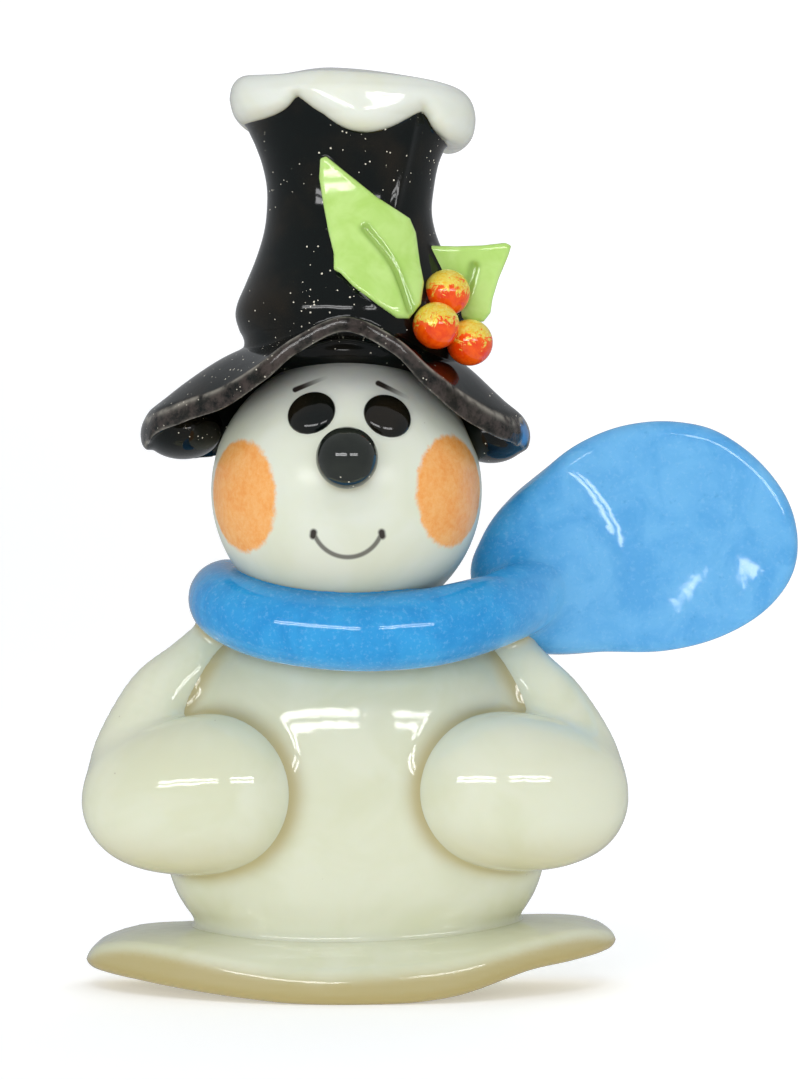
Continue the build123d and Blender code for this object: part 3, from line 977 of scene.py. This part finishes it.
def mouth_mask(shader, x, z):
    """A thin smile, with a blob where the pen was set down at each end."""
    low, high = node_box("mouth")
    half = (high - low)[0] / 2 - PEN_HALF
    drop = (high - low)[2] - MOUTH_RISE
    radius = (half**2 + drop**2) / (2 * drop)
    centre = ((low + high)[0] / 2, low[2] + PEN_HALF + radius)
    u = shader.math("MULTIPLY_ADD", x, 1 / MM, -centre[0])
    v = shader.math("MULTIPLY_ADD", z, 1 / MM, -centre[1])
    off = shader.math("ABSOLUTE", shader.math("SUBTRACT", length(shader, u, v), radius))
    line = shader.ramp(off, 0.34, 0.10)
    below = shader.math("LESS_THAN", v, drop - radius)
    mask = shader.math("MULTIPLY", shader.math("MULTIPLY", line, below), 0.80)
    for side in (-1, 1):
        end = (centre[0] + side * half, centre[1] + drop - radius)
        away, _ = segment_distance(shader, x, z, end, (end[0] + side * 0.05, end[1] - 0.35))
        mask = shader.math("MAXIMUM", mask, shader.ramp(away, 0.50, 0.18))
    return mask


def brow_mask(shader, x, z, side):
    """A pen stroke that starts dark and thick and fades away; both slope up towards the nose."""
    low, high = node_box(f"brow_{side}")
    low, high = low + 0.2, high - 0.2
    start, end = (low[2], high[2]) if side == "left" else (high[2], low[2])
    away, share = segment_distance(shader, x, z, (low[0], start), (high[0], end))
    width = shader.math("MULTIPLY_ADD", share, -0.10, 0.30)
    line = shader.ramp(shader.math("SUBTRACT", away, width), 0.06, -0.10)
    fade = shader.ramp(share, 1.15, 0.15)
    return shader.math("MULTIPLY", line, fade)


def wire():
    """Drawn steel wire with faint marks."""
    shader = Shader("steel_wire", Metallic=1.0, Roughness=0.28)
    wear = shader.ramp(shader.noise(0.4, 4, 0.7), 0.3, 0.75)
    shader.colour(shader.mix(wear, (0.62, 0.61, 0.58), (0.42, 0.41, 0.38)))
    shader.bump(shader.noise(0.15, 3), 0.01)
    return shader


# ---------------------------------------------------------------- assembly
GRIDS = {  # lowest corner, highest corner and mesh size of the larger pieces
    "snow_base": ((-29.5, -11, -0.5), (29.5, 9, 8), STEP),
    "torso": ((-24, -12, 0), (24, 9, 43), STEP),
    "arm_left": ((-29, -10, 10), (-4, 9, 43), STEP),
    "arm_right": ((4, -10, 10), (29, 9, 43), STEP),
    "head": (HEAD_LOW - 1, (HEAD_HIGH[0] + 1, BACK, HEAD_HIGH[2] + 1), 0.3),
    "scarf_wrap": ((-18, -12, 31), (26, 9, 50), 0.3),
    "scarf_tail": ((11, -2, 33), (48, 9, 60), STEP),
    "hat_brim": ((-23, -13, 49), (20, 9, 70), 0.2),
    "hat_crown": ((-14, -11, 59), (14, 9, 93), 0.25),
    "snow_cap": ((-14, -11, 85), (14, 9, 95), 0.25),
    "holly_leaf_large": ((-4, -11, 67), (8, -3, 85.5), 0.16),
    "holly_leaf_small": ((6, -5, 67), (17, 2, 77.5), 0.16),
}
BEADS = {"eye": (3, 0.12), "nose": (3.5, 0.16), "berry": (3, 0.14)}  # reach from the middle, mesh size


def clay(node, field, kind="clay"):
    """The mesh of one piece."""
    if node in GRIDS:
        return skin(f"{node}_{kind}", field, *GRIDS[node])
    reach, step = BEADS[node.split("_")[0]]
    return skin(f"{node}_{kind}", field, middle(node) - reach, middle(node) + reach, step)


def all_fields():
    """The whole lump of every clay piece, before its neighbours press into it."""
    return {
        "snow_base": base_field(),
        "torso": torso_field(),
        **{f"arm_{side}": arm_field(side) for side in SIDES},
        "head": head_field(),
        **{f"eye_{side}": eye_field(side) for side in SIDES},
        "nose": nose_field(),
        "scarf_wrap": scarf_field(),
        "scarf_tail": tail_field(),
        "hat_brim": brim_field(),
        "hat_crown": crown_field(),
        "snow_cap": cap_field(),
        "holly_leaf_large": leaf_field(LEAF_LARGE, LEAF_LARGE_VEIN, large_leaf_front),
        "holly_leaf_small": leaf_field(LEAF_SMALL, LEAF_SMALL_VEIN, small_leaf_front),
        **{node: berry_field(node) for node in ("berry_front", "berry_top", "berry_low")},
    }


def build_body(f):
    """Snow base, torso and arms."""
    cream = snow_clay("body_clay", (0.77, 0.79, 0.62), (0.72, 0.74, 0.54)).material
    arms = [f[f"arm_{side}"] for side in SIDES]

    piece = clay("snow_base", f["snow_base"])
    near(piece, f["torso"], reach=0.4)
    store_underside_shade(piece, 0.8, -0.2, 0.92)
    place(piece, cream, "clay_body", "snow_base")

    lump = hug(hug(f["torso"], *arms, soft=2.0), f["scarf_wrap"], f["snow_base"], soft=1.0)
    piece = clay("torso", cut(lump, f["head"]))
    near(piece, *arms, f["scarf_wrap"], reach=1.2)
    store_underside_shade(piece)
    place(piece, cream, "clay_body", "torso")

    for side, arm in zip(SIDES, arms):
        lump = cut(hug(arm, f["scarf_wrap"], soft=1.2), f["head"])
        piece = clay(f"arm_{side}", lump)
        near(piece, f["scarf_wrap"], f["torso"], reach=0.7)
        store_underside_shade(piece)
        place(piece, cream, "clay_body", f"arm_{side}")


def build_head(f):
    """Head with its painted marks, eyes and nose."""
    face = hug(f["head"], f["nose"], f["eye_left"], f["eye_right"], soft=0.35)
    piece = clay("head", face)
    near(piece, f["scarf_wrap"], f["hat_brim"], f["nose"], reach=0.6)
    store_underside_shade(piece)
    marks = ["mouth"] + [f"{mark}_{side}" for mark in ("cheek", "brow") for side in SIDES]
    place(piece, head_clay().material, "clay_white", "head", *marks)

    eye_clay = black_clay("eye_clay", 0.0, index=1.5).material
    for side in SIDES:
        piece = clay(f"eye_{side}", f[f"eye_{side}"], "bead")
        place(piece, eye_clay, "clay_black", f"eye_{side}")
    piece = clay("nose", cut(f["nose"], f["head"]), "bead")
    place(piece, black_clay("nose_clay", 0.6, 1.6, NOSE_BLACK_AND_SHEEN).material, "clay_black", "nose")


def build_scarf(f):
    blue = blue_clay().material
    piece = clay("scarf_wrap", cut(hug(f["scarf_wrap"], f["head"], soft=0.6), f["head"], f["torso"]))
    place(piece, blue, "clay_blue", "scarf_wrap")
    paddle = hug(f["scarf_tail"], f["scarf_wrap"], soft=5.0)
    piece = clay("scarf_tail", cut(paddle, f["head"], f["torso"], f["arm_left"], f["arm_right"]))
    place(piece, blue, "clay_light_blue", "scarf_tail")


def build_hat(f):
    """Brim, crown and the snow on top."""
    piece = clay("hat_brim", cut(f["hat_brim"], f["head"]))
    inside = -brim_plan()(*points_of(piece))
    # where the lip is, for the painted sheen and painted highlight along it
    store(piece, "lip", np.exp(-(inside / 0.35)**2))
    store(piece, "lip_edge", np.exp(-((inside - 0.22) / 0.12)**2))
    place(piece, brim_clay().material, "clay_black", "hat_brim")

    neighbours = [f[node] for node in ("hat_brim", "snow_cap", "holly_leaf_large", "holly_leaf_small")]
    piece = clay("hat_crown", cut(hug(f["hat_crown"], *neighbours, soft=0.7), f["head"]))
    place(piece, black_clay("hat_clay").material, "clay_black", "hat_crown")

    piece = clay("snow_cap", cut(f["snow_cap"], f["hat_crown"]))
    near(piece, f["hat_crown"], reach=0.8)
    store_underside_shade(piece, share=0.25)
    white = snow_clay("cap_clay", (0.80, 0.83, 0.76), (0.78, 0.80, 0.67)).material
    place(piece, white, "clay_white", "snow_cap")


def build_holly(f):
    green = green_clay().material
    berries = {node: field for node, field in f.items() if node.startswith("berry")}
    leaves = (("large", LEAF_LARGE_VEIN, large_leaf_front), ("small", LEAF_SMALL_VEIN, small_leaf_front))
    for size, vein, front in leaves:
        node = f"holly_leaf_{size}"
        piece = clay(node, f[node])
        near(piece, *berries.values(), vein_of(vein, front), reach=0.5)
        place(piece, green, "clay_green", node)
    for node, berry in berries.items():
        piece = clay(node, berry)
        place(piece, berry_clay(f"{node}_foil", middle(node)).material, "clay_red", node)


def build():
    f = all_fields()
    build_body(f)
    build_head(f)
    build_scarf(f)
    build_hat(f)
    build_holly(f)
    steel = wire().material
    for node in ("neck_pin", "hat_pin", "hanging_eye"):
        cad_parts[node].data.materials.clear()
        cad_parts[node].data.materials.append(steel)


# ---------------------------------------------------------------- studio
CAMERA = (5.4, -300.0, 46.1)
FIELD_HEIGHT = 110.5  # millimetres seen from bottom to top at the origin's distance
WINDOWS = {  # azimuth, width and watts of each window, which has a low and a high pane
    "window": (-20, 300, 0.20),
    "far_window": (26, 200, 0.12),
}
PANES = {"low": 9.5, "high": 14.5}  # elevations
BEND = 150  # radius of the bend between floor and backdrop
BEND_Y = 300  # where it begins
FLOOR = 3000  # how far the floor reaches to the front and to either side
BACKDROP = 900  # height


def studio():
    scene = bpy.context.scene
    scene.view_settings.view_transform = "Standard"
    data = bpy.data.cameras.new("camera")
    data.sensor_fit = "VERTICAL"
    data.angle = 2 * np.arctan(FIELD_HEIGHT / 2 / -CAMERA[1])
    data.clip_start = 0.01
    camera = bpy.data.objects.new("camera", data)
    camera.location = [c * MM for c in CAMERA]
    camera.rotation_euler = (np.pi / 2, 0, 0)
    bpy.context.collection.objects.link(camera)
    scene.camera = camera

    world = bpy.data.worlds.new("studio")
    world.use_nodes = True
    world.node_tree.nodes["Background"].inputs["Color"].default_value = (0.93, 0.96, 1.0, 1)
    world.node_tree.nodes["Background"].inputs["Strength"].default_value = 0.40
    scene.world = world

    sweep()
    lamp("fill", -10, 6, 520, (460, 300), 0.95, glossy=False)
    lamp("top_fill", 0, 62, 420, (300, 300), 0.55, glossy=False)
    lamp("rear_fill", 150, 30, 500, (300, 300), 0.4, glossy=False)
    for name, (azimuth, width, watts) in WINDOWS.items():
        for pane, elevation in PANES.items():
            lamp(f"{name}_{pane}", azimuth, elevation, 400, (width, 20), watts, diffuse=False)


def sweep():
    """A pale floor that curves up into a backdrop."""
    turns = np.linspace(0, np.pi / 2, 25)
    bend = [(BEND_Y + BEND * np.sin(turn), BEND - BEND * np.cos(turn)) for turn in turns]
    profile = [(-FLOOR, 0), *bend, (BEND_Y + BEND, BACKDROP)]
    points = [(x * MM, y * MM, z * MM) for y, z in profile for x in (-FLOOR, FLOOR)]
    faces = [(2 * i, 2 * i + 1, 2 * i + 3, 2 * i + 2) for i in range(len(profile) - 1)]
    mesh = bpy.data.meshes.new("sweep")
    mesh.from_pydata(points, [], faces)
    mesh.polygons.foreach_set("use_smooth", [True] * len(mesh.polygons))
    floor = bpy.data.objects.new("sweep", mesh)
    bpy.context.collection.objects.link(floor)
    shader = Shader("paper", Roughness=0.9, Base_Color=(0.93, 0.93, 0.93, 1))
    shader.surface.inputs["Emission Color"].default_value = (1, 1, 1, 1)
    shader.surface.inputs["Emission Strength"].default_value = 0.3
    mesh.materials.append(shader.material)
    floor.visible_glossy = False  # so that the black clay stays black


def lamp(name, azimuth, elevation, distance, size, watts, glossy=True, diffuse=True):
    """An area light aimed at the ornament's middle, from so many degrees to the right and up."""
    data = bpy.data.lights.new(name, "AREA")
    data.shape = "RECTANGLE"
    data.size, data.size_y = size[0] * MM, size[1] * MM
    data.energy = watts
    light = bpy.data.objects.new(name, data)
    turn, rise = np.radians(azimuth), np.radians(elevation)
    out = Vector((np.sin(turn) * np.cos(rise), -np.cos(turn) * np.cos(rise), np.sin(rise)))
    light.location = Vector((0, 0, CAMERA[2] * MM)) + out * distance * MM
    light.rotation_euler = out.to_track_quat("Z", "Y").to_euler()
    light.visible_glossy, light.visible_diffuse = glossy, diffuse
    bpy.context.collection.objects.link(light)


studio()
build()
